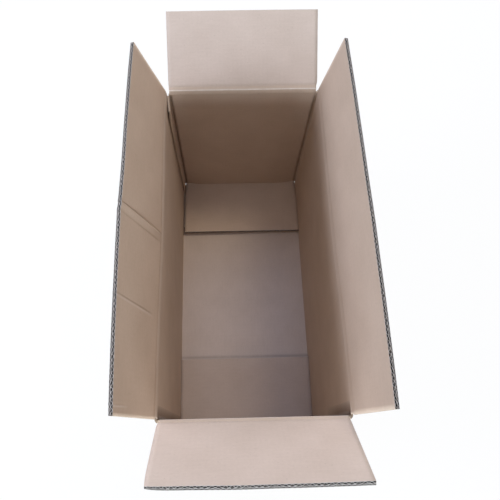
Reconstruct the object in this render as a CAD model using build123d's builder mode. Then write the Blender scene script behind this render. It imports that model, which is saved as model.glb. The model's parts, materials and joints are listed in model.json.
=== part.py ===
from build123d import *
import os
from math import cos, radians, sin

# An open shipping box: one sheet of double-wall corrugated board, slotted, scored and folded.
# The frame has +Z up, +Y along the length towards the back and +X to the right.
# Its origin is the centre of the underside. All sizes are in millimetres.

# Inside of the box, and its height over the closed flaps
inner_width = 288.0
inner_length = 588.0
closed_height = 410.0

# Board: three liners with a coarse fluted layer inside and a fine one outside
liner = 0.3
coarse_flute_height = 3.0
coarse_flute_pitch = 8.18
fine_flute_height = 2.1
fine_flute_pitch = 6.7
flute_paper = 0.3
flute_mouth_depth = 4.0
flute_crushed_end = 12.0

# Slots between neighbouring flaps, and how far they are cut past the shorter score
slot_width = 9.0
slot_past_score = 2.0

# Bends of the board
bend_inside = 1.0

# Scores that the top flaps turn on
hinge_standoff = 0.15
score_gap = 0.25
layer_clearance = 0.5
top_seam = 6.0

# Angles from upright at which the top flaps have come to rest, in degrees
left_lean = 14.7
right_lean = 9.4
front_lean = 32.5
back_lean = 57.0

# Floor: the long flaps meet under the short ones, which spring up a little, in degrees
bottom_seam = 0.8
bottom_layer_gap = 0.4
front_floor_tilt = 1.75
back_floor_tilt = 3.7

# Glue tab that joins the back wall to the left wall, crushed thin at its free edge
tab_width = 35.0
tab_edge_thickness = 3.0
tab_head_gap = 1.0
tab_top_slant = 12.0
tab_foot_gap = 2.0
tab_foot_slant = 8.0

# Tape along the seam of the floor and up both end walls
tape_width = 48.0
tape_thickness = 0.1
tape_climb = 60.0

# Creases pressed across the left flap, by their distance from its middle towards the front
left_flap_creases = (6.0, 22.5, 140.0)
crease_width = 2.4
crease_depth = 0.8
crease_start = 18.0
crease_end_margin = 2.0

# Sizes that follow
board = 3 * liner + coarse_flute_height + fine_flute_height
bend_outside = board - bend_inside
outer_width = inner_width + 2 * board
outer_length = inner_length + 2 * board
flap_reach = outer_width / 2 - top_seam / 2
flap_inset = (slot_width + board) / 2
long_flap_width = outer_length - 2 * flap_inset
short_flap_width = outer_width - 2 * flap_inset
long_score_z = closed_height
short_score_z = long_score_z - board - layer_clearance
short_floor_z = board + bottom_layer_gap
corner_low_z = short_floor_z + slot_past_score
corner_high_z = short_score_z - slot_past_score


def at(point):
    """Return a selector distance to a point of the sketch plane."""
    return Vector(*point, 0)


def long_panel():
    """Right wall and its bottom flap, in one bent profile."""
    outside, inside = outer_width / 2, inner_width / 2
    outer_corner = (outside, 0)
    inner_corner = (inside, board)
    with BuildPart() as panel:
        with BuildSketch(Plane.XZ) as profile:
            with BuildLine():
                Polyline(
                    (outside, long_score_z - score_gap),
                    (inside, long_score_z - score_gap - board),
                    inner_corner,
                    (bottom_seam / 2, board),
                    (bottom_seam / 2, 0),
                    outer_corner,
                    close=True,
                )
            make_face()
            fillet(profile.vertices().sort_by_distance(at(outer_corner))[0], bend_outside)
            fillet(profile.vertices().sort_by_distance(at(inner_corner))[0], bend_inside)
        extrude(amount=long_flap_width / 2, both=True)
    return panel.part


def short_panel(tilt):
    """Back wall and its bottom flap, which rises from the wall by the tilt in degrees."""
    outside, inside = outer_length / 2, inner_length / 2
    turn = radians(tilt)
    along = Vector(-cos(turn), sin(turn))
    across = Vector(sin(turn), cos(turn))
    outer_corner = Vector(outside, short_floor_z)
    edge_under = outer_corner + along * flap_reach
    edge_over = edge_under + across * board
    run_to_wall = board * (1 + sin(turn)) / cos(turn)
    inner_corner = outer_corner + across * board + along * run_to_wall
    with BuildPart() as panel:
        with BuildSketch(Plane.YZ) as profile:
            with BuildLine():
                Polyline(
                    (outside, short_score_z - score_gap),
                    (inside, short_score_z - score_gap - board),
                    inner_corner,
                    edge_over,
                    edge_under,
                    outer_corner,
                    close=True,
                )
            make_face()
            fillet(profile.vertices().sort_by_distance(outer_corner)[0], bend_outside)
            fillet(profile.vertices().sort_by_distance(inner_corner)[0], bend_inside)
        extrude(amount=short_flap_width / 2, both=True)
    return panel.part


def glue_tab():
    """Tab folded from the back wall and glued inside the left wall."""
    wall_x, fold_y = -inner_width / 2, inner_length / 2
    edge_y = fold_y - tab_width
    floor_rise = tab_width * sin(radians(back_floor_tilt))
    foot_z = short_floor_z + board + floor_rise + tab_foot_gap
    head_z = short_score_z - hinge_standoff - board - tab_head_gap
    with BuildPart() as tab:
        with BuildSketch(Plane.XY.offset(foot_z)):
            with BuildLine():
                Polyline(
                    (wall_x, fold_y),
                    (wall_x + board, fold_y),
                    (wall_x + tab_edge_thickness, edge_y),
                    (wall_x, edge_y),
                    close=True,
                )
            make_face()
        extrude(amount=head_z - foot_z)
        with BuildSketch(Plane.YZ.offset(wall_x)):
            with BuildLine():
                Polyline(
                    (fold_y, foot_z),
                    (fold_y, head_z),
                    (edge_y, head_z - tab_top_slant),
                    (edge_y, foot_z + tab_foot_slant),
                    close=True,
                )
            make_face()
        extrude(amount=board, mode=Mode.INTERSECT)
    return tab.part


def box_body():
    """Walls, bottom flaps and glue tab: the part of the sheet that stays folded."""
    right_panel = long_panel()
    with BuildPart() as body:
        add(right_panel)
        add(mirror(right_panel, about=Plane.YZ))
        add(short_panel(back_floor_tilt))
        add(mirror(short_panel(front_floor_tilt), about=Plane.XZ))
        add(glue_tab())

        # Bent corners between the slots
        with BuildSketch(Plane.XY.offset(corner_low_z)) as corners:
            with GridLocations(outer_width - flap_inset, outer_length - flap_inset, 2, 2):
                Rectangle(flap_inset, flap_inset)
            Rectangle(inner_width, inner_length, mode=Mode.SUBTRACT)
            for x_side, y_side in ((-1, -1), (1, -1), (1, 1)):
                outer_corner = (x_side * outer_width / 2, y_side * outer_length / 2)
                inner_corner = (x_side * inner_width / 2, y_side * inner_length / 2)
                fillet(corners.vertices().sort_by_distance(at(outer_corner))[0], bend_outside)
                fillet(corners.vertices().sort_by_distance(at(inner_corner))[0], bend_inside)
        extrude(amount=corner_high_z - corner_low_z)

        # The tab's bend leaves a groove beside the left wall's raw end
        with BuildSketch(Plane.XY.offset(corner_low_z)):
            raw_end = (-inner_width / 2, outer_length / 2)
            with Locations(raw_end):
                Rectangle(bend_outside, bend_outside, align=(Align.MIN, Align.MAX))
            with Locations((raw_end[0] + bend_outside, raw_end[1] - bend_outside)):
                Circle(bend_outside, mode=Mode.SUBTRACT)
        extrude(amount=short_score_z - corner_low_z, mode=Mode.SUBTRACT)

        # The tape lies pressed flush into the underside
        with BuildSketch(Plane.XY):
            Rectangle(tape_width, long_flap_width)
        extrude(amount=tape_thickness, mode=Mode.SUBTRACT)
    body.part.label = "box_body"
    return body.part


def hinge_plane(outward, score_x, score_y, score_z, lean):
    """Plane on a top flap's hinge line: X along the fold, Y up the flap, Z out of its back."""
    turn = radians(lean)
    up_flap = outward * sin(turn) + Vector(0, 0, cos(turn))
    out_of_back = outward * cos(turn) - Vector(0, 0, sin(turn))
    line = Vector(score_x, score_y, score_z) + outward * hinge_standoff
    return Plane(origin=line, x_dir=up_flap.cross(out_of_back), z_dir=out_of_back)


def flute_mouths(width, pitch, height, depth_in_board):
    """Cut one layer's flutes into the sketch of a flap's edge. The slots crush those at its ends."""
    count = int((width - 2 * flute_crushed_end) / pitch)
    half_base = pitch / 2 - flute_paper
    rise = height - flute_paper
    with Locations((0, depth_in_board)):
        with GridLocations(pitch, height, count, 1):
            Polygon(
                (-half_base, 0), (half_base, 0), (0, rise), align=None, mode=Mode.SUBTRACT
            )
        with GridLocations(pitch, height, count + 1, 1):
            Polygon(
                (-half_base, height),
                (0, flute_paper),
                (half_base, height),
                align=None,
                mode=Mode.SUBTRACT,
            )


def top_flap(name, width, hinge, creases=()):
    """One top flap, bevelled at its score, with open flutes along its free edge."""
    back_face = hinge_standoff
    inner_face = hinge_standoff + board
    panel_end = flap_reach - flute_mouth_depth
    end_plane = Plane(
        origin=hinge.origin - hinge.x_dir * width / 2, x_dir=hinge.y_dir, z_dir=hinge.x_dir
    )
    edge_plane = Plane(
        origin=hinge.origin + hinge.y_dir * panel_end, x_dir=hinge.x_dir, z_dir=hinge.y_dir
    )
    crease_plane = Plane(
        origin=hinge.origin + hinge.y_dir * crease_start, x_dir=hinge.x_dir, z_dir=hinge.y_dir
    )
    with BuildPart() as flap:
        with BuildSketch(end_plane):
            with BuildLine():
                Polyline(
                    (score_gap, -back_face),
                    (score_gap + board, -inner_face),
                    (panel_end, -inner_face),
                    (panel_end, -back_face),
                    close=True,
                )
            make_face()
        extrude(amount=width)
        if creases:
            with BuildSketch(crease_plane):
                with Locations(*[(place, inner_face) for place in creases]):
                    Polygon(
                        (-crease_width / 2, 0),
                        (0, -crease_depth),
                        (crease_width / 2, 0),
                        align=None,
                    )
            crease_length = panel_end - crease_end_margin - crease_start
            extrude(amount=crease_length, mode=Mode.SUBTRACT)
        with BuildSketch(edge_plane):
            with Locations((0, back_face)):
                Rectangle(width, board, align=(Align.CENTER, Align.MIN))
            fine_layer = back_face + liner
            coarse_layer = fine_layer + fine_flute_height + liner
            flute_mouths(width, fine_flute_pitch, fine_flute_height, fine_layer)
            flute_mouths(width, coarse_flute_pitch, coarse_flute_height, coarse_layer)
        extrude(amount=flute_mouth_depth)
    flap.part.label = name
    return flap.part


def bottom_tape():
    """Strip of tape over the floor seam, from one end wall round to the other."""
    end_wall, flap_end = outer_length / 2, long_flap_width / 2
    with BuildPart() as tape:
        with BuildSketch(Plane.YZ):
            with BuildLine():
                Polyline(
                    (0, 0),
                    (flap_end, 0),
                    (end_wall + tape_thickness, short_floor_z),
                    (end_wall + tape_thickness, tape_climb),
                    (end_wall, tape_climb),
                    (end_wall, short_floor_z),
                    (flap_end, tape_thickness),
                    (0, tape_thickness),
                    close=True,
                )
            make_face()
        extrude(amount=tape_width / 2, both=True)
        mirror(about=Plane.XZ)
    tape.part.label = "bottom_tape"
    return tape.part


left = Vector(-1, 0, 0)
right = Vector(1, 0, 0)
front = Vector(0, -1, 0)
back = Vector(0, 1, 0)
left_hinge = hinge_plane(left, -outer_width / 2, 0, long_score_z, left_lean)
right_hinge = hinge_plane(right, outer_width / 2, 0, long_score_z, right_lean)
front_hinge = hinge_plane(front, 0, -outer_length / 2, short_score_z, front_lean)
back_hinge = hinge_plane(back, 0, outer_length / 2, short_score_z, back_lean)

pieces = (
    box_body(),
    top_flap("left_flap", long_flap_width, left_hinge, left_flap_creases),
    top_flap("right_flap", long_flap_width, right_hinge),
    top_flap("front_flap", short_flap_width, front_hinge),
    top_flap("back_flap", short_flap_width, back_hinge),
    bottom_tape(),
)
os.makedirs("parts", exist_ok=True)
for piece in pieces:
    export_step(piece, f"parts/{piece.label}.step")
    print(piece.label, "volume", round(piece.volume), "box", piece.bounding_box())
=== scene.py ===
import json
from math import atan2, ceil, cos, exp, hypot, pi, radians, sin, tan

import bmesh
import bpy
from mathutils import Matrix, Vector, noise


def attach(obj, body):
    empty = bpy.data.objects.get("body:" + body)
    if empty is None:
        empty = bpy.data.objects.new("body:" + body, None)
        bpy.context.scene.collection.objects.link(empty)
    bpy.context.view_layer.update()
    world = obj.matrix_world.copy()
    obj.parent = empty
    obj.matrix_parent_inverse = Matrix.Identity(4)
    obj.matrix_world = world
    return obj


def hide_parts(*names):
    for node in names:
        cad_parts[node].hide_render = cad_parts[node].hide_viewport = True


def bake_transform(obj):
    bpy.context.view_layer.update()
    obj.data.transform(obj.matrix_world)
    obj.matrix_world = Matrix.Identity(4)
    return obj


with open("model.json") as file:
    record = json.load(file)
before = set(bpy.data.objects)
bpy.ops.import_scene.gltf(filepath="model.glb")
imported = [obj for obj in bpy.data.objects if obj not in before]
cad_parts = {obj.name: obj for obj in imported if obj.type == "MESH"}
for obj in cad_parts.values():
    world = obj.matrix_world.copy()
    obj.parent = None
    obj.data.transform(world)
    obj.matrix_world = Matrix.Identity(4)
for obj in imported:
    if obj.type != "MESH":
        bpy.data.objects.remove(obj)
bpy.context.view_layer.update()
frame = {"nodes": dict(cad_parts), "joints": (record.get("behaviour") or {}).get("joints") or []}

# An open shipping box in double-wall corrugated board. Lengths are in metres.
MM = 0.001

# Sizes of the box, as in the frame
HALF_WIDTH = 150.0 * MM
HALF_LENGTH = 300.0 * MM
BOARD = 6.0 * MM
LONG_SCORE = 410.0 * MM
SHORT_SCORE = 403.5 * MM
CORNER_LOW = 8.4 * MM
CORNER_HIGH = 401.5 * MM
FLAP_REACH = 147.0 * MM
LONG_FLAP = 585.0 * MM
SHORT_FLAP = 285.0 * MM
HINGE_STANDOFF = 0.15 * MM
SCORE_GAP = 0.25 * MM
BEND_OUTSIDE = 5.0 * MM
CORNER_OUTSIDE = 7.4 * MM
BEND_INSIDE = 1.0 * MM
SHORT_FLOOR = 6.4 * MM
FRONT_TILT = 1.75
BACK_TILT = 3.7
TAB_WIDTH = 35.0 * MM
TAB_EDGE = 2.6 * MM
TAB_FOLD = 3.6 * MM

# The board's layers. Its cut edge is frayed, so the paper shows thicker there than it is.
LINER = 0.3 * MM
MIDDLE_LINER = 0.5 * MM
FINE_FLUTE = 1.9 * MM
FINE_PITCH = 6.7 * MM
COARSE_FLUTE = 3.0 * MM
COARSE_PITCH = 8.18 * MM
FLUTE_PAPER = 0.62 * MM
MOUTH_DEPTH = 14.0 * MM
FLUTE_STEPS = 10
FLUTE_SETBACK = 0.3 * MM
MIDDLE_SETBACK = 0.15 * MM
MOUTH_MARGIN = 1.0 * MM
RAGGED, RAGGED_LENGTH, RAGGED_SEED = 0.25 * MM, 9.0 * MM, 5
COARSE_PHASE = 1.7

# How far a liner laid over the board stands off it
RAISE = 0.02 * MM

# Spacing of the meshes' columns and rows, and how close two points count as one
STEP = 7.0 * MM
FINE_STEP = 1.2 * MM
FINE_STEPS = 7
SAME_POINT = 0.02 * MM

# Material indices of the board pieces
INSIDE, OUTSIDE, EDGE, FLUTING, CUT_AND_HIGHLIGHT, LONG_FLOOR, FRONT_FLOOR = range(7)


def wobble(x, y, seed, scale):
    """Smooth noise of about -1 to 1 with features of the given size."""
    return noise.noise(Vector((x / scale + 17.3 * seed, y / scale - 9.1 * seed, 3.7 * seed)))


def smooth_step(value):
    value = min(1.0, max(0.0, value))
    return value * value * (3 - 2 * value)


def ticks(start, end, step, centres=()):
    """Places from start to end, closer together near the centres, which need start < end."""
    count = ceil(abs(end - start) / step)
    places = {start + (end - start) * i / count for i in range(count + 1)} | {start, end}
    for centre in centres:
        for i in range(-FINE_STEPS, FINE_STEPS + 1):
            place = centre + i * FINE_STEP
            if start + FINE_STEP / 2 < place < end - FINE_STEP / 2:
                places.add(place)
    ordered = sorted(places, reverse=end < start)
    kept = [ordered[0]]
    for place in ordered[1:-1]:
        if min(abs(place - kept[-1]), abs(place - end)) > FINE_STEP / 3:
            kept.append(place)
    return kept + [end]


def add_object(name, data):
    made = bpy.data.objects.new(name, data)
    bpy.context.scene.collection.objects.link(made)
    return made


class Board:
    """Mesh of folded board, made from patches of paired outer and inner points."""

    def __init__(self):
        self.points, self.coords = [], []
        self.faces, self.kinds = [], []
        self.pairs, self.quads = {}, []
        self.open_edges = set()

    def point(self, place, uv):
        self.points.append(Vector(place))
        self.coords.append(uv)
        return len(self.points) - 1

    def pair(self, outer, inner, uv):
        """Index of a pair of points, shared by patches that meet there."""
        key = tuple(round(c / SAME_POINT) for c in (*outer, *inner))
        if key not in self.pairs:
            self.pairs[key] = (self.point(outer, uv), self.point(inner, uv))
        return self.pairs[key]

    def face(self, corners, kind):
        self.faces.append(corners)
        self.kinds.append(kind)

    def patch(self, rows, open_last=False, inside=INSIDE):
        """Add a grid of (outer, inner, uv). The last row may be left open for flute mouths."""
        grid = [[self.pair(*cell) for cell in row] for row in rows]
        for low, high in zip(grid, grid[1:]):
            for i in range(len(low) - 1):
                self.quads.append(((low[i], low[i + 1], high[i + 1], high[i]), inside))
        if open_last:
            last = grid[-1]
            self.open_edges.update(frozenset(ends) for ends in zip(last, last[1:]))

    def strip(self, rows, kinds):
        """Add a plain grid of (point, uv) with one material for each step along a row.

        With as many steps as points, each row closes into a ring, and both ends are capped.
        """
        grid = [[self.point(place, uv) for place, uv in row] for row in rows]
        for low, high in zip(grid, grid[1:]):
            for i, kind in enumerate(kinds):
                j = (i + 1) % len(low)
                self.face((low[i], low[j], high[j], high[i]), kind)
        if len(kinds) == len(grid[0]):
            self.face(tuple(reversed(grid[0])), EDGE)
            self.face(tuple(grid[-1]), EDGE)

    def close_sheet(self):
        """Turn the paired quads into two faces, and close the sheet's free edges."""
        uses = {}
        for quad, inside in self.quads:
            self.face(tuple(pair[0] for pair in quad), OUTSIDE)
            self.face(tuple(pair[1] for pair in reversed(quad)), inside)
            for a, b in zip(quad, quad[1:] + quad[:1]):
                uses.setdefault(frozenset((a, b)), []).append((a, b))
        for edge, sides in uses.items():
            if len(sides) == 1 and len(edge) == 2 and edge not in self.open_edges:
                a, b = sides[0]
                self.face((b[0], a[0], a[1], b[1]), EDGE)

    def build(self, name, materials):
        """The finished piece, with its faces turned outward."""
        mesh = bpy.data.meshes.new(name)
        mesh.from_pydata(self.points, [], self.faces)
        layer = mesh.uv_layers.new(name="board")
        for loop in mesh.loops:
            layer.data[loop.index].uv = self.coords[loop.vertex_index]
        for material in materials:
            mesh.materials.append(material)
        for polygon, kind in zip(mesh.polygons, self.kinds):
            polygon.material_index = kind
            polygon.use_smooth = kind not in (EDGE, FLUTING, CUT_AND_HIGHLIGHT)
        mesh.validate()
        turned = bmesh.new()
        turned.from_mesh(mesh)
        bmesh.ops.recalc_face_normals(turned, faces=turned.faces)
        turned.to_mesh(mesh)
        turned.free()
        return add_object(name, mesh)


def flute_layer(board, place, width, pitch, low, height, phase):
    """One layer's wavy paper in a flute mouth. place(a, depth, d) gives its points."""
    rows = []
    count = ceil(width / pitch * FLUTE_STEPS)
    middle, swing = low + height / 2, (height - FLUTE_PAPER) / 2
    for i in range(count + 1):
        a = -width / 2 + width * i / count
        turn = 2 * pi * a / pitch + phase
        lift = swing * cos(turn)
        slope = -swing * 2 * pi / pitch * sin(turn)
        half = FLUTE_PAPER / 2 * hypot(1, slope)
        front = FLUTE_SETBACK + RAGGED * wobble(a, low, RAGGED_SEED, RAGGED_LENGTH)
        loop = []
        for depth, side in ((front, -1), (front, 1), (MOUTH_DEPTH, 1), (MOUTH_DEPTH, -1)):
            loop.append((place(a, depth, middle + lift + side * half), (a, depth)))
        rows.append(loop)
    board.strip(rows, (CUT_AND_HIGHLIGHT, FLUTING, FLUTING, FLUTING))


def mouth_strip(board, place, columns, profile, kinds):
    """Run a profile of (depth in the mouth, d) along a free edge."""
    rows = [[(place(a, depth, d), (a, depth)) for depth, d in profile] for a in columns]
    board.strip(rows, kinds)


def flute_mouth(board, place, columns, width, phase, lip):
    """Free edge of a flap: liner edges, the open mouth and the fluted layers in it.

    The inside liner is painted pale for the width of the lip, a painted highlight along the edge.
    """
    shell = (
        (0, 0),
        (0, LINER),
        (MOUTH_DEPTH, LINER),
        (MOUTH_DEPTH, BOARD - LINER),
        (0, BOARD - LINER),
        (0, BOARD),
        (lip, BOARD + RAISE),
    )
    mouth_strip(board, place, columns, shell, (CUT_AND_HIGHLIGHT, FLUTING, FLUTING, FLUTING, CUT_AND_HIGHLIGHT, CUT_AND_HIGHLIGHT))
    fine_high = LINER + FINE_FLUTE
    coarse_low = fine_high + MIDDLE_LINER
    middle = (
        (MIDDLE_SETBACK, fine_high),
        (MIDDLE_SETBACK, coarse_low),
        (MOUTH_DEPTH, coarse_low),
        (MOUTH_DEPTH, fine_high),
    )
    mouth_strip(board, place, columns, middle, (CUT_AND_HIGHLIGHT, FLUTING, FLUTING, FLUTING))
    inside = width - MOUTH_MARGIN
    flute_layer(board, place, inside, FINE_PITCH, LINER, FINE_FLUTE, phase)
    coarse_phase = COARSE_PHASE * phase
    flute_layer(board, place, inside, COARSE_PITCH, coarse_low, COARSE_FLUTE, coarse_phase)


# Materials

# Noise in the papers: stretch across and along the flutes, then scale, detail and roughness
CLOUD = ((1.0, 1.0), 14.0, 4.0, 0.55)
PULP = ((1.0, 1.0), 260.0, 5.0, 0.65)
FIBRES = ((30.0, 260.0), 1.0, 5.0, 0.7)
SPECKS = ((260.0, 620.0), 1.0, 2.0, 0.5)
GRAIN = ((1.0, 1.0), 900.0, 4.0, 0.7)
BEAD_PATCHES = ((60.0, 0.0), 1.0, 4.0, 0.7)
STREAK_PATCHES = ((30.0, 30.0), 1.0, 3.0, 0.6)
TAPE_STREAKS = ((420.0, 9.0, 30.0), 1.0, 3.0, 0.5)

# What each noise adds to the liner's tone and relief
BASE_TONE = 0.15
CLOUD_TONE, PULP_TONE, FIBRE_TONE, WAVE_TONE = 0.50, 0.32, 0.28, 0.008
FIBRE_RELIEF = 0.03 * MM
PULP_RELIEF = 0.06 * MM
INNER_WAVE = 0.012 * MM
OUTER_WAVE = 0.010 * MM
SPECK_LEVEL = 0.70
SPECK_STRENGTH = 0.28
FLECK = (0.55, 0.5, 0.45)

INNER_LIGHT = (0.675, 0.535, 0.423)
INNER_DARK = (0.425, 0.312, 0.223)
OUTER_LIGHT = (0.61, 0.465, 0.335)
OUTER_DARK = (0.37, 0.26, 0.17)
# Painted shade and painted highlight: dark and pale colours mixed into the liners where shade and
# light fall
SHADE_PAPER = (0.11, 0.065, 0.045, 1.0)
HIGHLIGHT_PAPER = (0.86, 0.78, 0.70, 1.0)
TAPE_LIGHT = (0.42, 0.27, 0.14, 1.0)
TAPE_DARK = (0.30, 0.18, 0.085, 1.0)

# The bead along a fold and the painted highlight on it: their half widths, as a share of the fold
# and in metres
BEAD_HALF = 0.055
BEAD_HIGHLIGHT_HALF = 1.5 * MM
BEAD_STRENGTH = 1.6
FOLD_RUN = 14.0 * MM
FLAP_START = SCORE_GAP + BOARD

# Painted shade in the folded corners, and streaks of painted shade and painted highlight across the
# flaps
CORNER_SHADE_REACH = 20.0 * MM
CORNER_SHADE_FADE = 100.0 * MM
CORNER_SHADE_POWER = 0.6
CORNER_SHADE_STRENGTH = 0.85
STREAK_FADE = 15.0 * MM


def node(tree, kind, **settings):
    made = tree.nodes.new(kind)
    for key, value in settings.items():
        setattr(made, key, value)
    return made


def set_inputs(made, values):
    for name, value in values.items():
        made.inputs[name].default_value = value


def feed(tree, socket, value):
    """Give a socket a plain value, or a link from another node."""
    if isinstance(value, (int, float, tuple)):
        socket.default_value = value
    else:
        tree.links.new(value, socket)


def maths(tree, operation, *values):
    made = node(tree, "ShaderNodeMath", operation=operation)
    for socket, value in zip(made.inputs, values):
        feed(tree, socket, value)
    return made.outputs[0]


def mix_colour(tree, factor, first, second):
    made = node(tree, "ShaderNodeMix", data_type="RGBA")
    for place, value in ((0, factor), (6, first), (7, second)):
        feed(tree, made.inputs[place], value)
    return made.outputs[2]


def new_material(name, roughness, specular=0.5):
    material = bpy.data.materials.new(name)
    material.use_nodes = True
    tree = material.node_tree
    shader = tree.nodes["Principled BSDF"]
    set_inputs(shader, {"Roughness": roughness, "Specular IOR Level": specular})
    return material, tree, shader


def add_relief(tree, shader, height, strength, distance):
    bump = node(tree, "ShaderNodeBump")
    set_inputs(bump, {"Strength": strength, "Distance": distance})
    tree.links.new(height, bump.inputs["Height"])
    tree.links.new(bump.outputs[0], shader.inputs["Normal"])


def noise_node(tree, coordinates, stretch, scale, detail, roughness):
    """Noise over stretched coordinates."""
    mapping = node(tree, "ShaderNodeMapping")
    set_inputs(mapping, {"Scale": stretch})
    made = node(tree, "ShaderNodeTexNoise")
    set_inputs(made, {"Scale": scale, "Detail": detail, "Roughness": roughness})
    tree.links.new(coordinates, mapping.inputs[0])
    tree.links.new(mapping.outputs[0], made.inputs["Vector"])
    return made.outputs[0]


def board_map(tree):
    """The board's own coordinates: across the flutes, then along them."""
    return node(tree, "ShaderNodeUVMap", uv_map="board").outputs[0]


def board_noise(tree, stretch, *settings):
    return noise_node(tree, board_map(tree), (*stretch, 1.0), *settings)


def board_place(tree):
    split = node(tree, "ShaderNodeSeparateXYZ")
    tree.links.new(board_map(tree), split.inputs[0])
    return split.outputs[0], split.outputs[1]


def near_line(tree, value, place, reach):
    """1 where the value is at the place, falling to 0 at the reach on either side."""
    off = maths(tree, "ABSOLUTE", maths(tree, "SUBTRACT", value, place))
    near = maths(tree, "MULTIPLY_ADD", off, -1 / reach, 1.0)
    return maths(tree, "MAXIMUM", near, 0.0)


def above_line(tree, value, start, fade):
    """0 up to the start, rising to 1 over the fade."""
    above = maths(tree, "SUBTRACT", value, start)
    above = maths(tree, "MULTIPLY", above, 1 / fade)
    above = maths(tree, "MAXIMUM", above, 0.0)
    return maths(tree, "MINIMUM", above, 1.0)


def paint_over(material, factor, paint):
    """Mix a paint into the colour that a material has so far."""
    tree = material.node_tree
    base = tree.nodes["Principled BSDF"].inputs["Base Color"]
    colour = mix_colour(tree, factor, base.links[0].from_socket, paint)
    tree.links.new(colour, base)


def kraft(name, light, dark, pitch, wave_depth):
    """Kraft liner: mottled pulp, fibres across the flutes, and faint waves over the flutes."""
    material, tree, shader = new_material(name, roughness=0.82, specular=0.25)
    cloud, pulp, fibres = (board_noise(tree, *look) for look in (CLOUD, PULP, FIBRES))
    turn = maths(tree, "MULTIPLY", board_place(tree)[0], 2 * pi / pitch)
    waves = maths(tree, "SINE", turn)
    tone = BASE_TONE
    tones = (CLOUD_TONE, PULP_TONE, FIBRE_TONE, WAVE_TONE)
    for part, share in zip((cloud, pulp, fibres, waves), tones):
        tone = maths(tree, "MULTIPLY_ADD", part, share, tone)
    colour = mix_colour(tree, tone, (*dark, 1.0), (*light, 1.0))
    tree.links.new(colour, shader.inputs["Base Color"])
    specks = maths(tree, "GREATER_THAN", board_noise(tree, *SPECKS), SPECK_LEVEL)
    specks = maths(tree, "MULTIPLY", specks, SPECK_STRENGTH)
    paint_over(material, specks, (*(c * share for c, share in zip(dark, FLECK)), 1.0))
    relief = maths(tree, "MULTIPLY", waves, wave_depth)
    relief = maths(tree, "MULTIPLY_ADD", fibres, FIBRE_RELIEF, relief)
    relief = maths(tree, "MULTIPLY_ADD", pulp, PULP_RELIEF, relief)
    add_relief(tree, shader, relief, strength=0.6, distance=1.0)
    return material


def inner_kraft(name, tint=(1.0, 1.0, 1.0), wave_depth=INNER_WAVE):
    """The inside liner, tinted."""
    light, dark = (
        tuple(c * share for c, share in zip(colour, tint)) for colour in (INNER_LIGHT, INNER_DARK)
    )
    return kraft(name, light, dark, COARSE_PITCH, wave_depth)


def raw_paper(name, dark, light):
    """Cut edges and flute paper: recycled paper with loose fibres."""
    material, tree, shader = new_material(name, roughness=0.92, specular=0.15)
    grain = board_noise(tree, *GRAIN)
    tree.links.new(mix_colour(tree, grain, dark, light), shader.inputs["Base Color"])
    add_relief(tree, shader, grain, strength=0.5, distance=0.1 * MM)
    return material


def tape_film():
    """Brown packing tape: glossy film, slightly streaked along its length."""
    material, tree, shader = new_material("tape_film", roughness=0.22)
    set_inputs(shader, {"Coat Weight": 0.4})
    place = node(tree, "ShaderNodeTexCoord").outputs["Object"]
    streaks = noise_node(tree, place, *TAPE_STREAKS)
    tree.links.new(mix_colour(tree, streaks, TAPE_DARK, TAPE_LIGHT), shader.inputs["Base Color"])
    add_relief(tree, shader, streaks, strength=0.3, distance=0.2 * MM)
    return material


def highlit_fold_liner(name, wear, bead_place):
    """Inside liner over a score: as the liner beside it, painted pale along the bead as a painted
    highlight on the ridge.
    """
    material = inner_kraft(name, wave_depth=0.0)
    tree = material.node_tree
    bead = FLAP_START - FOLD_RUN * (1 - bead_place)
    near = near_line(tree, board_place(tree)[1], bead, BEAD_HIGHLIGHT_HALF)
    patchy = maths(tree, "MULTIPLY", near, board_noise(tree, *BEAD_PATCHES))
    paint_over(material, maths(tree, "MULTIPLY", patchy, BEAD_STRENGTH * wear), HIGHLIGHT_PAPER)
    return material


def shade_corner(material, place, low):
    """Darken the inside liner along one folded corner of the box, from a height upward: painted
    shade in the corner.
    """
    tree = material.node_tree
    across, along = board_place(tree)
    near = near_line(tree, across, place, CORNER_SHADE_REACH)
    corner_shade = maths(tree, "MULTIPLY", near, above_line(tree, along, low, CORNER_SHADE_FADE))
    corner_shade = maths(tree, "POWER", corner_shade, CORNER_SHADE_POWER)
    paint_over(material, maths(tree, "MULTIPLY", corner_shade, CORNER_SHADE_STRENGTH), SHADE_PAPER)


def streak(material, place, slant, half_width, start, strength, paint):
    """Paint a soft line across a flap: place along its fold, slanting, from a height upward."""
    tree = material.node_tree
    across, along = board_place(tree)
    slanted = maths(tree, "MULTIPLY_ADD", along, slant, across)
    near = near_line(tree, slanted, place + slant * FLAP_REACH, half_width)
    near = maths(tree, "MULTIPLY", near, above_line(tree, along, start, STREAK_FADE))
    near = maths(tree, "MULTIPLY", near, board_noise(tree, *STREAK_PATCHES))
    paint_over(material, maths(tree, "MULTIPLY", near, 2 * strength), paint)


inside_paper = inner_kraft("inside_liner")
outside_paper = kraft("outside_liner", OUTER_LIGHT, OUTER_DARK, FINE_PITCH, OUTER_WAVE)
edge_paper = raw_paper("raw_edge", (0.30, 0.215, 0.145, 1.0), (0.56, 0.44, 0.33, 1.0))
# Flute paper near black: painted shade deep in the flute mouths
fluting = raw_paper("fluting", (0.008, 0.007, 0.006, 1.0), (0.03, 0.024, 0.02, 1.0))
# Pale cut paper for the raw cut edges, and as a painted highlight on the lip along free edges
cut_paper = raw_paper("cut_paper", (0.34, 0.30, 0.26, 1.0), (0.74, 0.68, 0.62, 1.0))
sheet_papers = (outside_paper, edge_paper, fluting, cut_paper)

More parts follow.
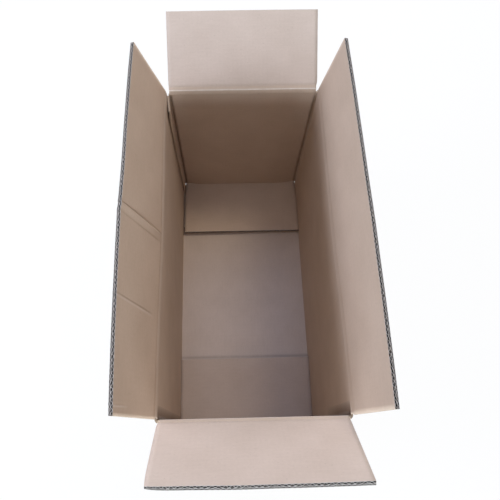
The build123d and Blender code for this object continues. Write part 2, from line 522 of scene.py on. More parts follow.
# Tinted copies of the inside liner, painted light and shade: each tint gives the colour of the
# light on that part, cool on the back and front flaps and the long bottom flaps, warm on the left
# flap, and the front bottom flap darker as painted shade
floor_paper = inner_kraft("long_floor_liner", (1.025, 1.07, 1.135))
front_floor_paper = inner_kraft("front_floor_liner", (0.90, 0.91, 0.935))
creased_paper = inner_kraft("creased_liner", (0.97, 0.925, 0.875))
front_paper = inner_kraft("front_flap_liner", (1.0, 1.015, 1.065))
back_paper = inner_kraft("back_flap_liner", (1.02, 1.06, 1.14))
flap_papers = {
    "left": creased_paper, "right": inside_paper, "front": front_paper, "back": back_paper
}

# Painted shade in the corners beside the front wall: the front-left from below the floor up, the
# front-right from 200 mm up
shade_corner(inside_paper, 593.0 * MM, -50.0 * MM)
shade_corner(inside_paper, 901.0 * MM, 200.0 * MM)

# Painted shade and painted highlight at the left flap's creases, dark lines in the creases and pale
# strips beside them: place, slant, half width, start, strength and paint
for crease_mark in (
    (-6.0 * MM, -0.030, 6.5 * MM, -4.0 * MM, 0.05, HIGHLIGHT_PAPER),
    (1.3 * MM, -0.022, 1.5 * MM, -2.0 * MM, 0.48, SHADE_PAPER),
    (-13.5 * MM, -0.036, 3.5 * MM, 8.0 * MM, 0.13, SHADE_PAPER),
    (-135.0 * MM, -0.06, 1.8 * MM, 28.0 * MM, 0.26, SHADE_PAPER),
    (-138.5 * MM, -0.06, 2.2 * MM, 28.0 * MM, 0.20, HIGHLIGHT_PAPER),
    (-281.0 * MM, 0.02, 2.0 * MM, 100.0 * MM, 0.25, HIGHLIGHT_PAPER),
):
    streak(creased_paper, *crease_mark)

# Painted shadow on the long bottom flaps just behind the front flap's free edge
streak(floor_paper, -148.8 * MM, 0.0, 5.5 * MM, -HALF_WIDTH - 40 * MM, 0.24, SHADE_PAPER)


# The box that stays folded: walls, corners, bottom flaps and glue tab

OUTWARD = {"left": (-1, 0), "right": (1, 0), "front": (0, -1), "back": (0, 1)}
MAIN_LOW = 20.0 * MM
MAIN_HIGH = 396.5 * MM
BEND_STEPS = 6
SCORE_HALF = 2.2 * MM
SCORE_DEPTH = 2.6 * MM
SCORE_PROFILE = (0.0, 0.0, 0.35, 1.0, 0.35, 0.0, 0.0)
CORNER_CRUSH = 5.0 * MM
POST_REST = 0.3 * MM


def quarter(centre, radius, start):
    """Points of a quarter circle in one plane, from an angle in degrees."""
    points = []
    for i in range(BEND_STEPS + 1):
        turn = radians(start + 90 * i / BEND_STEPS)
        points.append((centre[0] + radius * cos(turn), centre[1] + radius * sin(turn)))
    return points


def wall_columns():
    """Columns round the box, from the left wall's raw end to the tab's bend.

    Each is (outer xy, inner xy, zone): a zone is a wall, or None in a corner.
    """
    wide, deep = HALF_WIDTH, HALF_LENGTH
    inner_wide, inner_deep = wide - BOARD, deep - BOARD
    half_long, half_short = LONG_FLAP / 2, SHORT_FLAP / 2
    columns = []

    def side(places, zone):
        x, y = OUTWARD[zone]
        for place in places:
            outer = (x * wide, place) if x else (place, y * deep)
            inner = (x * inner_wide, place) if x else (place, y * inner_deep)
            columns.append((outer, inner, zone))

    def score(centre, start):
        """Inner liner at a bend: the score leaves a groove in it."""
        points = quarter(centre, SCORE_HALF, start)
        middle = radians(start + 45)
        for i, share in enumerate(SCORE_PROFILE):
            deep = share * SCORE_DEPTH
            x, y = points[i]
            points[i] = (x + deep * cos(middle), y + deep * sin(middle))
        return points

    def bend(outer_centre, radius, inner_centre, start):
        outer = quarter(outer_centre, radius, start)
        columns.extend((o, i, None) for o, i in zip(outer, score(inner_centre, start)))

    def corner(x_side, y_side, start):
        outer_centre = x_side * (wide - CORNER_OUTSIDE), y_side * (deep - CORNER_OUTSIDE)
        inner_centre = x_side * (inner_wide - SCORE_HALF), y_side * (inner_deep - SCORE_HALF)
        bend(outer_centre, CORNER_OUTSIDE, inner_centre, start)

    columns.append(((-wide, deep), (-inner_wide, inner_deep), None))
    long_places = ticks(-half_long, half_long, STEP, LEFT_WALL_CREASES)
    side(reversed(long_places), "left")
    corner(-1, -1, 180)
    side(ticks(-half_short, half_short, STEP), "front")
    corner(1, -1, 270)
    side(long_places, "right")
    corner(1, 1, 0)
    side(ticks(half_short, -wide + BOARD + BEND_OUTSIDE, STEP), "back")
    outer_centre = -inner_wide + BEND_OUTSIDE, deep - BEND_OUTSIDE
    inner_centre = -inner_wide + TAB_FOLD + SCORE_HALF, inner_deep - SCORE_HALF
    bend(outer_centre, BEND_OUTSIDE, inner_centre, 90)
    return columns


# Shape of the walls: how far each bulges out and its foot is pushed, its waves and its dents
WALL_BULGE = {"left": 1.6 * MM, "right": 2.2 * MM, "front": 0.8 * MM, "back": -0.9 * MM}
WALL_FOOT = {"left": 0.0, "right": 0.0, "front": 0.0, "back": -5.0 * MM}
WALL_SEED = {"left": 1, "right": 2, "front": 3, "back": 4}
FOOT_RUN = 45.0 * MM
WAVE_HEIGHT, WAVE_LENGTH = 0.9 * MM, 120.0 * MM
DENT_HEIGHT, DENT_LENGTH, DENT_SEED = 0.25 * MM, 28.0 * MM, 7

# Creases in the upper part of the left wall
LEFT_WALL_CREASES = (-4.0 * MM, -24.0 * MM)
WALL_CREASE_SLANT = 0.12
WALL_CREASE_HALF = 2.6 * MM
WALL_CREASE_HEIGHT = 0.45 * MM
WALL_CREASE_LOW, WALL_CREASE_RISE = 0.45, 0.4

# Splay of the long walls' two ends, where it starts along them, and over what stretch
SPLAY_FRONT = {"left": 1.6 * MM, "right": 2.5 * MM}
SPLAY_BACK = {"left": 2.8 * MM, "right": 1.4 * MM}
SPLAY_START, SPLAY_RUN = 20.0 * MM, 160.0 * MM
BACK_SPLAY = {"left": (-40.0 * MM, 300.0 * MM), "right": (SPLAY_START, SPLAY_RUN)}
STRAIGHT_FOLD, STRAIGHT_RUN = 8.0 * MM, 82.0 * MM


def end_shares(side, y):
    """How far along a long side's front half and back half a place is, from 0 to 1."""
    start, run = BACK_SPLAY[side]
    return smooth_step((-y - SPLAY_START) / SPLAY_RUN), smooth_step((y - start) / run)


def splay(side, y, z):
    """The corners stand out a little towards the top, and the ends of the long sides with them."""
    front, back = end_shares(side, y)
    up = smooth_step((z - MAIN_LOW) / (LONG_SCORE - MAIN_LOW))
    return (front * SPLAY_FRONT[side] + back * SPLAY_BACK[side]) * up


def outer_share(from_score):
    """The outside keeps its fold straight: the splay reaches it only some way from the score."""
    return smooth_step((from_score - STRAIGHT_FOLD) / STRAIGHT_RUN)


def foot_push(zone, along):
    """How far a wall's foot has been pushed out of its plane."""
    return WALL_FOOT[zone] * smooth_step((SHORT_FLAP / 2 - abs(along)) / FOOT_RUN)


def wall_shift(zone, along, z):
    """How far a wall stands out of its plane: a slow bulge, waves and, on the left, creases."""
    half = (LONG_FLAP if zone in ("left", "right") else SHORT_FLAP) / 2
    across = max(0.0, 1 - (along / half) ** 2)
    up = (z - MAIN_LOW) / (MAIN_HIGH - MAIN_LOW)
    window = max(0.0, 4 * up * (1 - up)) * across
    seed = WALL_SEED[zone]
    shift = WALL_BULGE[zone] * window
    shift += WAVE_HEIGHT * window * wobble(along, z, seed, WAVE_LENGTH)
    shift += DENT_HEIGHT * min(1.0, 6 * window) * wobble(along, z, seed + DENT_SEED, DENT_LENGTH)
    shift += foot_push(zone, along) * max(0.0, 1 - up) ** 2
    if zone == "left":
        fade = smooth_step((up - WALL_CREASE_LOW) / WALL_CREASE_RISE) * min(1.0, 8 * window)
        slant = (MAIN_HIGH - z) * WALL_CREASE_SLANT
        for crease in LEFT_WALL_CREASES:
            gap = (along - crease + slant) / WALL_CREASE_HALF
            shift += WALL_CREASE_HEIGHT * fade * exp(-gap * gap)
    return shift


def shifted(column, z):
    """Outer and inner point of a wall column at a height, moved by the wall's bulge and splay."""
    (ox, oy), (ix, iy), zone = column
    if zone:
        out = OUTWARD[zone]
        along = oy if zone in ("left", "right") else ox
        shift = wall_shift(zone, along, z)
        ox, oy = ox + out[0] * shift, oy + out[1] * shift
        ix, iy = ix + out[0] * shift, iy + out[1] * shift
    side = "left" if ox < 0 else "right"
    lean = splay(side, oy, z) * (1.0 if zone == side else min(1.0, abs(ox) / HALF_WIDTH))
    lean = -lean if side == "left" else lean
    ox, ix = ox + lean * outer_share(LONG_SCORE - z), ix + lean
    if zone is None and z > MAIN_HIGH:
        crush = CORNER_CRUSH * (z - MAIN_HIGH) / (CORNER_HIGH - MAIN_HIGH)
        toward = Vector((ix - ox, iy - oy))
        if toward.length > crush:
            toward = toward.normalized() * crush
            ox, oy = ox + toward.x, oy + toward.y
    return Vector((ox, oy, z)), Vector((ix, iy, z))


def zone_runs(columns):
    """Runs of neighbouring columns in one wall or one corner: its zone, start and end."""
    runs, start = [], 0
    for i in range(1, len(columns)):
        if columns[i][2] != columns[start][2]:
            runs.append((columns[start][2], start, i))
            start = i
    runs.append((columns[start][2], start, len(columns)))
    return runs


def fillet(before, corner, after, radius):
    """Round the corner of a two-dimensional path: points from one tangent to the other."""
    corner = Vector(corner)
    to_before = (Vector(before) - corner).normalized()
    to_after = (Vector(after) - corner).normalized()
    half = to_before.angle(to_after) / 2
    centre = corner + (to_before + to_after).normalized() * (radius / sin(half))
    first = corner + to_before * (radius / tan(half)) - centre
    last = corner + to_after * (radius / tan(half)) - centre
    start = atan2(first.y, first.x)
    sweep = (atan2(last.y, last.x) - start + pi) % (2 * pi) - pi
    points = []
    for i in range(BEND_STEPS + 1):
        turn = start + sweep * i / BEND_STEPS
        points.append(centre + Vector((cos(turn), sin(turn))) * radius)
    return points


def floor_profile(half_size, corner_z, tilt, reach_to):
    """Fold from a wall to its bottom flap, as (outer, inner) points of distance out and height."""
    turn = radians(tilt)
    along = Vector((-cos(turn), sin(turn)))
    across = Vector((sin(turn), cos(turn)))
    corner = Vector((half_size, corner_z))
    reach = (half_size - reach_to) / cos(turn)
    edge_under = corner + along * reach
    edge_over = edge_under + across * BOARD
    run = BOARD * (1 + sin(turn)) / cos(turn)
    inner_corner = corner + across * BOARD + along * run
    wall_outer = Vector((half_size, MAIN_LOW))
    wall_inner = Vector((half_size - BOARD, MAIN_LOW))
    outer = fillet(wall_outer, corner, edge_under, BEND_OUTSIDE)
    inner = fillet(wall_inner, inner_corner, edge_over, BEND_INSIDE)
    profile = [(wall_outer, wall_inner)] + list(zip(outer, inner))
    steps = ceil((outer[-1] - edge_under).length / STEP)
    for i in range(1, steps + 1):
        share = i / steps
        profile.append((outer[-1].lerp(edge_under, share), inner[-1].lerp(edge_over, share)))
    return profile


FLOOR_KINDS = {"left": LONG_FLOOR, "right": LONG_FLOOR, "front": FRONT_FLOOR, "back": INSIDE}
FLOOR_SPREAD = 0.009
FLOOR_WAVE, FLOOR_WAVE_LENGTH, FLOOR_SEED = 0.35 * MM, 60.0 * MM, 11
FLAT_ROWS = 6
FRONT_CURL = 3.5 * MM
CURL_REACH = 70.0 * MM
# Each short bottom flap's flute phase, and the width of its pale lip, a painted highlight along the
# free edge
FLOOR_MOUTH = {"front": (0.8, 0.6 * MM), "back": (2.1, 0.5 * MM)}


def add_floor_flap(board, run_columns, zone, profile):
    """Bottom flap below one wall, along the wall's own columns."""
    out = OUTWARD[zone]
    long_side = zone in ("left", "right")
    rows, depth = [], 0.0
    for k, (outer, inner) in enumerate(profile):
        if k:
            depth += (outer - profile[k - 1][0]).length
        flat = smooth_step((k - BEND_STEPS - 1) / FLAT_ROWS)
        row = []
        for (wall_x, wall_y), _, _ in run_columns:
            along = wall_y if long_side else wall_x
            lift = 0.0
            if not long_side:
                seed = FLOOR_SEED + len(zone)
                lift = abs(FLOOR_WAVE * wobble(along, depth, seed, FLOOR_WAVE_LENGTH)) * flat
            if zone == "front":
                lift += FRONT_CURL * smooth_step((depth - FLAP_REACH + CURL_REACH) / CURL_REACH)
            push = out[1] * foot_push(zone, along) * (1 - k / (len(profile) - 1))
            wide = along * (1 + FLOOR_SPREAD * flat)
            cell = []
            for point in (outer, inner):
                if long_side:
                    cell.append(Vector((out[0] * point.x, along, point.y + lift)))
                else:
                    cell.append(Vector((wide, out[1] * point.x + push, point.y + lift)))
            row.append((*cell, (along, MAIN_LOW - depth)))
        rows.append(row)
    board.patch(rows[:2])
    board.patch(rows[1:], open_last=not long_side, inside=FLOOR_KINDS[zone])
    if not long_side:
        add_floor_mouth(board, rows[-1], rows[-2], zone)


def add_floor_mouth(board, edge_row, inner_row, zone):
    """Flute mouths along the free edge of a short bottom flap."""
    places = [cell[0].x for cell in edge_row]
    sign = 1 if places[-1] > places[0] else -1

    def place(a, depth, d):
        i = max(0, min(len(places) - 2, sum(1 for p in places[1:-1] if (p - a) * sign < 0)))
        span = places[i + 1] - places[i]
        share = min(1.0, max(0.0, (a - places[i]) / span))
        outer = edge_row[i][0].lerp(edge_row[i + 1][0], share)
        inner = edge_row[i][1].lerp(edge_row[i + 1][1], share)
        back = inner_row[i][0].lerp(inner_row[i + 1][0], share)
        into = (back - outer).normalized()
        point = outer.lerp(inner, d / BOARD) + into * depth
        point.x = a
        return point

    flute_mouth(board, place, places, abs(places[-1] - places[0]), *FLOOR_MOUTH[zone])


def add_corner_post(board, cell, around, ends_at_tab):
    """Corner between two walls, above and below the part that has the walls beside it."""
    top = [cell(i, CORNER_HIGH) for i in around]
    if ends_at_tab:
        # The tab's bend is cut away where the closed back flap lies over it
        for outer, inner, _ in top:
            for point in (outer, inner):
                clear = SHORT_SCORE - SCORE_GAP - (HALF_LENGTH - point.y)
                point.z = max(MAIN_HIGH + POST_REST, min(point.z, clear))
    board.patch([[cell(i, MAIN_HIGH) for i in around], top])
    board.patch([[cell(i, z) for i in around] for z in (CORNER_LOW, MAIN_LOW)])


def add_wall_head(board, cell, run, lengths, score):
    """Top of a wall, mitred at its score."""
    outer_top = score - SCORE_GAP
    inner_top = outer_top - BOARD
    rows = []
    for share in (0.0, 0.5, 1.0):
        row = []
        for i in run:
            outer, inner, _ = cell(i, MAIN_HIGH)
            outer.z = MAIN_HIGH + (outer_top - MAIN_HIGH) * share
            inner.z = MAIN_HIGH + (inner_top - MAIN_HIGH) * share
            row.append((outer, inner, (lengths[i], outer.z)))
        rows.append(row)
    board.patch(rows)


def build_body():
    """The walls, corners, bottom flaps and glue tab as one piece."""
    board = Board()
    columns = wall_columns()
    lengths = [0.0]
    for before, after in zip(columns, columns[1:]):
        step = hypot(after[0][0] - before[0][0], after[0][1] - before[0][1])
        lengths.append(lengths[-1] + step)

    def cell(i, z):
        outer, inner = shifted(columns[i], z)
        return outer, inner, (lengths[i], z)

    heights = ticks(MAIN_LOW, MAIN_HIGH, STEP)
    board.patch([[cell(i, z) for i in range(len(columns))] for z in heights])

    for zone, start, end in zone_runs(columns):
        if zone is None:
            around = range(max(0, start - 1), min(len(columns), end + 1))
            add_corner_post(board, cell, around, end == len(columns))
            continue
        if zone in ("left", "right"):
            score = LONG_SCORE
            profile = floor_profile(HALF_WIDTH, 0.0, 0.0, 0.0)
        else:
            score = SHORT_SCORE
            tilt = FRONT_TILT if zone == "front" else BACK_TILT
            free_edge = HALF_LENGTH - FLAP_REACH * cos(radians(tilt))
            profile = floor_profile(HALF_LENGTH, SHORT_FLOOR, tilt, free_edge)
        add_wall_head(board, cell, range(start, end), lengths, score)
        add_floor_flap(board, columns[start:end], zone, profile)

    add_glue_tab(board, lengths[-1])
    board.close_sheet()
    materials = (inside_paper, *sheet_papers, floor_paper, front_floor_paper)
    piece = board.build("box_body_board", materials)
    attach(piece, "carton")
    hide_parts("box_body")


TAB_FOOT = 16.7 * MM
TAB_HEAD = 397.2 * MM
TAB_TOP_SLANT = 2.0 * MM
TAB_FOOT_SLANT = 8.0 * MM
TAB_ROWS, TAB_COLUMNS = 60, 12
TAB_GAP = 0.08 * MM
TAB_CURL, TAB_CURL_LENGTH, TAB_SEED = 0.9 * MM, 50.0 * MM, 21
TAB_LOOSE, TAB_LOOSE_LIFT = 350.0 * MM, 2.4 * MM


def add_glue_tab(board, start_length):
    """Tab inside the left wall, pressed thin towards its free edge and loose at its head."""
    rows = []
    for j in range(TAB_ROWS + 1):
        row = []
        for k in range(TAB_COLUMNS + 1):
            share = k / TAB_COLUMNS
            y = HALF_LENGTH - BOARD - TAB_WIDTH * share
            foot = TAB_FOOT + TAB_FOOT_SLANT * share
            head = TAB_HEAD - TAB_TOP_SLANT * share
            z = foot + (head - foot) * j / TAB_ROWS
            thickness = TAB_FOLD + (TAB_EDGE - TAB_FOLD) * share
            waves = 1 + wobble(y, z, TAB_SEED, TAB_CURL_LENGTH)
            lift = TAB_GAP + TAB_CURL * share * share * waves
            loose = smooth_step((z - TAB_LOOSE) / (TAB_HEAD - TAB_LOOSE))
            lift += TAB_LOOSE_LIFT * share * loose
            x = -HALF_WIDTH + BOARD - splay("left", y, z) + lift
            uv = (start_length + TAB_WIDTH * share, z)
            row.append((Vector((x, y, z)), Vector((x + thickness, y, z)), uv))
        rows.append(row)
    board.patch(rows)


# The top flaps


class Flap:
    """One top flap's plane: a along the fold, u up the flap, d from its back into the board."""

    def __init__(self, name, lean, width, warp, fray, leave, ridge, creases=()):
        self.name, self.width, self.creases = name, width, creases
        self.warp, self.fray, self.leave = warp, fray, leave
        self.bead, self.wear, self.bead_place, self.wall_pull, self.flap_pull = ridge
        joint = next(j for j in frame["joints"] if j["child"] == name)
        self.axis_point = Vector(joint["pos_m"])
        self.out = Vector((*OUTWARD[name], 0))
        self.lean = turn = radians(lean)
        self.up = self.out * sin(turn) + Vector((0, 0, cos(turn)))
        self.inward = -self.out * cos(turn) + Vector((0, 0, sin(turn)))
        self.along = Vector((0, 1, 0)) if abs(self.out.x) > 0.5 else Vector((1, 0, 0))

    def at(self, a, u, d):
        """Point of the warped board."""
        a, u, thin = self.fray(a, u)
        depth = HINGE_STANDOFF + BOARD / 2 + (d - BOARD / 2) * thin - self.warp(a, u)
        side = d / BOARD + (1 - d / BOARD) * outer_share(u)
        base = self.axis_point + self.out * self.leave(a, u) * side
        return base + self.along * a + self.up * u + self.inward * depth


def build_flap(flap):
    board = Board()
    columns = ticks(-flap.width / 2, flap.width / 2, STEP, flap.creases)
    count = ceil(FLAP_REACH / STEP)
    rows = []
    for k in range(count + 1):
        share = k / count
        outer_u = SCORE_GAP + (FLAP_REACH - SCORE_GAP) * share
        inner_u = FLAP_START + (FLAP_REACH - FLAP_START) * share
        rows.append([
            (flap.at(a, outer_u, 0), flap.at(a, inner_u, BOARD), (a, inner_u)) for a in columns
        ])
    board.patch(rows, open_last=True)
    board.close_sheet()

    def place(a, depth, d):
        return flap.at(a, FLAP_REACH - depth, d)

    phase = FLAP_PHASE * len(flap.name)
    flute_mouth(board, place, columns, flap.width, phase, FLAP_LIP)
    piece = board.build(flap.name + "_flap_board", (flap_papers[flap.name], *sheet_papers))
    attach(piece, flap.name)
    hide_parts(flap.name + "_flap")


FLAP_PHASE = 0.9
# Width of the pale lip along a top flap's free edge: a painted highlight
FLAP_LIP = 0.3 * MM
FOLD_PAPER = 0.35 * MM
FOLD_OVERLAP = 0.6 * MM
FOLD_STEPS = 24
FOLD_COLUMN = 3.5 * MM
CRUMPLE, CRUMPLE_RUN, CRUMPLE_LENGTH, CRUMPLE_SEED = 0.12 * MM, 30.0 * MM, 14.0 * MM, 31
OUTER_HALF = 2.4 * MM
OUTER_RAISE = 0.10 * MM
OUTER_STEPS = 4
WRINKLE, WRINKLE_RUN, WRINKLE_LENGTH, WRINKLE_SEED = 0.04 * MM, 9.0 * MM, 6.0 * MM, 41


def build_fold(flap):
    """The liners across the score, bent to the flap's lean."""
    inner_depth = HINGE_STANDOFF + BOARD
    bevel = FLAP_START + FOLD_OVERLAP
    wall_point = Vector((inner_depth, -bevel))
    flap_point = Vector((
        inner_depth * cos(flap.lean) - bevel * sin(flap.lean),
        inner_depth * sin(flap.lean) + bevel * cos(flap.lean),
    ))
    up_wall = Vector((0, 1))
    up_flap = Vector((-sin(flap.lean), cos(flap.lean)))
    chord = (flap_point - wall_point).length

    def inner_curve(share, a):
        """Ridge of the inner liner between the wall and the flap, and its normal."""
        s, t = share, 1 - share
        point = (
            wall_point * (t * t * (1 + 2 * s))
            + flap_point * (s * s * (3 - 2 * s))
            + up_wall * (chord * flap.wall_pull * s * t * t)
            - up_flap * (chord * flap.flap_pull * s * s * t)
        )
        bead = exp(-(((s - flap.bead_place) / BEAD_HALF) ** 2)) * flap.bead
        seed = CRUMPLE_SEED + len(flap.name)
        crumple = CRUMPLE * wobble(a, s * CRUMPLE_RUN, seed, CRUMPLE_LENGTH) * s * t * 4
        normal = Vector((cos(flap.lean * s), sin(flap.lean * s)))
        return point + normal * (bead - crumple), normal

    def to_world(point, a, share=1.0):
        aside = flap.leave(a, 0.0) * share - point.x
        return flap.axis_point + flap.along * a + flap.out * aside + Vector((0, 0, point.y))

    board = Board()
    columns = ticks(-flap.width / 2, flap.width / 2, FOLD_COLUMN)
    rows, outer_rows = [], []
    for a in columns:
        face, rear = [], []
        for k in range(FOLD_STEPS + 1):
            point, normal = inner_curve(k / FOLD_STEPS, a)
            uv = (a, FLAP_START - FOLD_RUN * (1 - k / FOLD_STEPS))
            face.append((to_world(point + normal * RAISE, a), uv))
            rear.append((to_world(point - normal * FOLD_PAPER, a), uv))
        rows.append(face + rear[::-1])
        face, rear = [], []
        for k in range(-OUTER_STEPS, OUTER_STEPS + 1):
            share = k / OUTER_STEPS
            turn = 0.0 if k < 0 else flap.lean
            normal = Vector((cos(turn), sin(turn)))
            base = (up_flap if k > 0 else up_wall) * (OUTER_HALF * share)
            wrinkle = WRINKLE * (1 - abs(share))
            wrinkle *= wobble(a, share * WRINKLE_RUN, WRINKLE_SEED, WRINKLE_LENGTH)
            uv = (a, OUTER_HALF * share)
            face.append((to_world(base + normal * (OUTER_RAISE + wrinkle), a, 0.0), uv))
            rear.append((to_world(base + normal * (OUTER_RAISE + FOLD_PAPER), a, 0.0), uv))
        outer_rows.append(face[::-1] + rear)
    board.strip(rows, [INSIDE] * FOLD_STEPS + [EDGE] * (FOLD_STEPS + 2))
    board.strip(outer_rows, [OUTSIDE] * (2 * OUTER_STEPS) + [EDGE] * (2 * OUTER_STEPS + 2))
    liner = highlit_fold_liner(flap.name + "_fold_liner", flap.wear, flap.bead_place)
    piece = board.build(flap.name + "_fold", (liner, outside_paper, edge_paper))
    start = to_world(wall_point, 0)
    end = to_world(flap_point, 0)
    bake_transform(piece)


# Warps: how far a flap bows outward, for a place along its fold and a height up the flap

# A plain warp: bow, its middle and span, level, then height, seed and length of the waves
RIGHT_WARP = (4.2 * MM, -60 * MM, LONG_FLAP + 120 * MM, 0.5 * MM, 0.6 * MM, 52, 80 * MM)
FRONT_WARP = (1.2 * MM, 0.0, SHORT_FLAP, 1.0 * MM, 0.5 * MM, 53, 60 * MM)
BACK_WARP = (-1.8 * MM, 0.0, SHORT_FLAP, 0.0, 0.5 * MM, 54, 60 * MM)
PLAIN_POWER = 1.5

# The left flap's bows and waves
LEFT_POWER = 1.4
LEFT_WAVE, LEFT_WAVE_LENGTH, LEFT_SEED = 0.5 * MM, 70 * MM, 51
LEFT_BOW = 4.6 * MM
LEFT_PEAK, LEFT_PEAK_PLACE, LEFT_PEAK_REACH = 3.6 * MM, -10.0 * MM, 70.0 * MM
LEFT_NEAR_BOW, LEFT_NEAR_PLACE, LEFT_NEAR_SPAN = 2.4 * MM, -155.0 * MM, 300.0 * MM
LEFT_NEAR_POWER = 0.6

# The left flap's creases: place at the free edge, slant, depth, and height where each starts
LEFT_CREASES = (
    (1.0 * MM, -0.022, 1.8 * MM, 2 * MM),
    (-13.5 * MM, -0.036, 0.7 * MM, 10 * MM),
    (-136.0 * MM, -0.06, 0.8 * MM, 30 * MM),
    (-279.5 * MM, 0.02, 0.6 * MM, 100 * MM),
)
CREASE_HALF = 1.4 * MM
CREASE_RISE = 20.0 * MM
CREASE_LOSS, KINK_LOSS = 0.6, 0.8
KINK = 2.1 * MM
KINK_START, KINK_RISE = 7.0 * MM, 12.0 * MM
KINK_EDGE = 1.2 * MM


def raised(u, power):
    """Share of a bow at a height up the flap: 0 at the fold and 1 at the free edge."""
    return (max(0.0, u) / FLAP_REACH) ** power


def left_warp(a, u):
    """Left flap: bowed out about the pair of creases across its middle."""
    out = raised(u, LEFT_POWER)
    near = max(0.0, cos(pi * (a - LEFT_NEAR_PLACE) / LEFT_NEAR_SPAN)) ** LEFT_NEAR_POWER
    shift = LEFT_BOW * out * cos(pi * a / LONG_FLAP)
    shift += LEFT_PEAK * out * exp(-abs(a - LEFT_PEAK_PLACE) / LEFT_PEAK_REACH)
    shift += LEFT_NEAR_BOW * out * near
    for crease, slant, depth, start in LEFT_CREASES:
        gap = (a - crease - slant * (FLAP_REACH - u)) / CREASE_HALF
        rise = smooth_step((u - start) / CREASE_RISE)
        shift += depth * (1 - CREASE_LOSS * out) * rise * exp(-gap * gap)
    kink = smooth_step((u - KINK_START) / KINK_RISE) * (1 - KINK_LOSS * out)
    shift -= KINK * kink * kinked(a, u)
    return shift + LEFT_WAVE * out * wobble(a, u, LEFT_SEED, LEFT_WAVE_LENGTH)


def kinked(a, u):
    """Strip between the pair of creases: stepped in at the far one, then sloping back."""
    upper, lower = (crease[0] + crease[1] * (FLAP_REACH - u) for crease in LEFT_CREASES[:2])
    rise = smooth_step((upper + KINK_EDGE - a) / (2 * KINK_EDGE))
    return rise * max(0.0, min(1.0, (a - lower) / (upper - lower)))


def plain_warp(bow, middle, span, level, wave, seed, length):
    """Warp of a flap with one bow across it."""

    def warp(a, u):
        shift = bow * cos(pi * (a - middle) / span) + level + wave * wobble(a, u, seed, length)
        return raised(u, PLAIN_POWER) * shift

    return warp


# Outlines: where a flap's point has moved to, along the fold and up, and how thin it is there

LEFT_WIDER = 0.5 * MM
RIGHT_WIDER = 2.0 * MM
FRONT_WIDER = 2.3 * MM
FRONT_FLARE = 0.3 * MM
LONGER = 1.3 * MM
SLOT_CLEAR, SLOT_RUN = 4.0 * MM, 12.0 * MM
CRUSH_REACH = 13.0 * MM
CRUSH_ASIDE, CRUSH_DOWN, CRUSH_THIN = 1.5 * MM, 2.0 * MM, 0.45
LEFT_FREE_LEAN = 4.5 * MM


def past_slot(u):
    """None of a flap's extra width near its fold, where the corner posts stand, then all of it."""
    return smooth_step((u - SLOT_CLEAR) / SLOT_RUN)


def crushed_corner(a, u):
    """Front flap: a wider left side, and its outer corner knocked back and pressed thin."""
    near = exp(-hypot(a + SHORT_FLAP / 2, u - FLAP_REACH) / CRUSH_REACH)
    wide = smooth_step(-2 * a / SHORT_FLAP) * (FRONT_WIDER + FRONT_FLARE * u / FLAP_REACH)
    wide *= past_slot(u)
    return a - wide + CRUSH_ASIDE * near, u - CRUSH_DOWN * near, 1 - CRUSH_THIN * near


def spread_corner(a, u):
    """Back flap: both sides stand out a little, the right one more."""
    right, left = smooth_step(2 * a / SHORT_FLAP), smooth_step(-2 * a / SHORT_FLAP)
    return a + (RIGHT_WIDER * right - LEFT_WIDER * left) * past_slot(u), u, 1.0


def stretched(a, u):
    """Long flap, its near end a little longer."""
    return a - LONGER * smooth_step(-2 * a / LONG_FLAP), u, 1.0


def left_leave(a, u):
    """Left fold follows the splayed wall, and the far end of the flap leans out further."""
    free = LEFT_FREE_LEAN * end_shares("left", a)[1]
    fold = splay("left", a, LONG_SCORE)
    return fold + (free - fold) * max(0.0, u) / FLAP_REACH


def right_leave(a, u):
    """Right fold follows the splayed wall, and the flap is back in its plane at its free edge."""
    return splay("right", a, LONG_SCORE) * (1 - max(0.0, u) / FLAP_REACH)


def no_leave(a, u):
    """A short flap stays in its plane."""
    return 0.0


# Each fold's ridge: height, painted highlight and place of its bead, then how far it keeps to wall
# and flap
LEFT_RIDGE = (0.0, 0.0, 0.36, 1.05, 1.05)
RIGHT_RIDGE = (0.15 * MM, 0.35, 0.36, 1.05, 1.05)
FRONT_RIDGE = (0.5 * MM, 0.8, 0.36, 1.05, 1.05)
BACK_RIDGE = (0.6 * MM, 1.3, 0.55, 1.75, 0.60)

crease_places = [crease[0] for crease in LEFT_CREASES]

# Each flap's name, lean in degrees, width, warp, outline, way of leaving its plane, and ridge
FLAPS = (
    ("left", 14.7, LONG_FLAP, left_warp, stretched, left_leave, LEFT_RIDGE, crease_places),
    ("right", 9.4, LONG_FLAP, plain_warp(*RIGHT_WARP), stretched, right_leave, RIGHT_RIDGE),
    ("front", 32.5, SHORT_FLAP, plain_warp(*FRONT_WARP), crushed_corner, no_leave, FRONT_RIDGE),
    ("back", 57.0, SHORT_FLAP, plain_warp(*BACK_WARP), spread_corner, no_leave, BACK_RIDGE),
)

build_body()
for flap_settings in FLAPS:
    flap = Flap(*flap_settings)
    build_flap(flap)
    build_fold(flap)
tape_slots = frame["nodes"]["bottom_tape"].data.materials
tape_slots.clear()
tape_slots.append(tape_film())


# Floor, lights and camera


LAMP_AIM = (0, 0, 0.2)

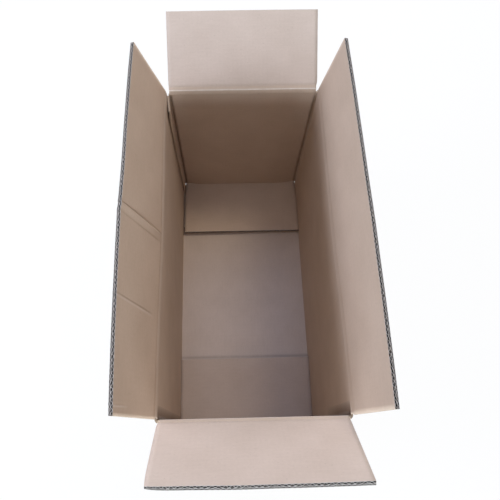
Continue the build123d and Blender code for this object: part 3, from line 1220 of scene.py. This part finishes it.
# Each lamp's name, place, size, watts and colour
LAMPS = (
    ("overhead", (0, 0, 2.6), 2.2, 9.8, (0.80, 0.83, 1.0)),
    ("overhead_back", (0, 1.4, 2.3), 1.0, 14.5, (0.44, 0.60, 1.0)),
    ("from_right", (0.8, 0.9, 2.7), 0.6, 15.0, (1.0, 0.90, 0.72)),
    ("from_left", (-2.2, 0, 1.4), 0.9, 31.5, (0.80, 0.845, 1.0)),
    ("from_back", (0, 2.6, 1.2), 0.8, 39.5, (0.80, 0.885, 1.0)),
    ("from_front", (0, -2.6, 0.8), 0.6, 70.0, (0.75, 0.88, 1.0)),
)
WHITE, PALE = (1.0, 1.0, 1.0, 1.0), (0.9, 0.9, 0.9, 1.0)
FLOOR_HALF = 6.0
FLOOR_GLOW = 0.92
WORLD_STRENGTH = 0.17


def seen_directly(tree):
    """1 for rays from the camera, a glossy surface or a clear one, else 0."""
    rays = node(tree, "ShaderNodeLightPath").outputs
    direct = maths(tree, "MAXIMUM", rays["Is Camera Ray"], rays["Is Glossy Ray"])
    return maths(tree, "MAXIMUM", direct, rays["Is Transmission Ray"])


def mix_shaders(tree, factor, first, second, output):
    mix = node(tree, "ShaderNodeMixShader")
    for socket, source in zip(mix.inputs, (factor, first.outputs[0], second.outputs[0])):
        tree.links.new(source, socket)
    tree.links.new(mix.outputs[0], tree.nodes[output].inputs[0])


def build_floor():
    """Pale floor that looks white to the camera but keeps the box's shadow."""
    mesh = bpy.data.meshes.new("floor")
    corners = [(x * FLOOR_HALF, y * FLOOR_HALF, 0) for x, y in ((-1, -1), (1, -1), (1, 1), (-1, 1))]
    mesh.from_pydata(corners, [], [(0, 1, 2, 3)])
    floor = add_object("floor", mesh)
    material, tree, shader = new_material("floor_white", roughness=0.9)
    set_inputs(shader, {"Base Color": PALE})
    glow = node(tree, "ShaderNodeEmission")
    seen = maths(tree, "MULTIPLY", seen_directly(tree), FLOOR_GLOW)
    mix_shaders(tree, seen, shader, glow, "Material Output")
    mesh.materials.append(material)


def build_world():
    """Soft light from all round, white to the camera."""
    world = bpy.data.worlds.new("studio")
    bpy.context.scene.world = world
    world.use_nodes = True
    tree = world.node_tree
    background = tree.nodes["Background"]
    set_inputs(background, {"Color": WHITE, "Strength": WORLD_STRENGTH})
    white = node(tree, "ShaderNodeBackground")
    set_inputs(white, {"Color": WHITE})
    mix_shaders(tree, seen_directly(tree), background, white, "World Output")


def add_lamp(name, place, size, watts, colour):
    light = bpy.data.lights.new(name, "AREA")
    light.shape = "DISK"
    light.size = size
    light.energy = watts
    light.color = colour
    lamp = add_object(name, light)
    lamp.location = place
    lamp.rotation_euler = (Vector(LAMP_AIM) - Vector(place)).to_track_quat("-Z", "Y").to_euler()


# The photograph's camera, in pixels of its 500 x 500 frame and metres of the box's frame
PHOTO_SIZE = 500
FOCAL_PIXELS = 538.44
CENTRE_X, CENTRE_Y = 232.41, 206.74
CAMERA_PLACE = (-0.0359, -0.3271, 1.2725)
CAMERA_YAW, CAMERA_PITCH, CAMERA_ROLL = 0.0285, 1.1587, 0.0073


def add_camera():
    forward = Vector((
        sin(CAMERA_YAW) * cos(CAMERA_PITCH),
        cos(CAMERA_YAW) * cos(CAMERA_PITCH),
        -sin(CAMERA_PITCH),
    ))
    level = Vector((cos(CAMERA_YAW), -sin(CAMERA_YAW), 0))
    above = level.cross(forward)
    right = level * cos(CAMERA_ROLL) + above * sin(CAMERA_ROLL)
    up = above * cos(CAMERA_ROLL) - level * sin(CAMERA_ROLL)
    data = bpy.data.cameras.new("camera")
    data.sensor_width = 36.0
    data.lens = FOCAL_PIXELS * data.sensor_width / PHOTO_SIZE
    data.shift_x = (PHOTO_SIZE / 2 - CENTRE_X) / PHOTO_SIZE
    data.shift_y = (CENTRE_Y - PHOTO_SIZE / 2) / PHOTO_SIZE
    camera = add_object("camera", data)
    turn = Matrix((right, up, -forward)).transposed().to_4x4()
    camera.matrix_world = Matrix.Translation(CAMERA_PLACE) @ turn
    bpy.context.scene.camera = camera


build_floor()
build_world()
for lamp_settings in LAMPS:
    add_lamp(*lamp_settings)
add_camera()
bpy.context.scene.view_settings.view_transform = "Standard"
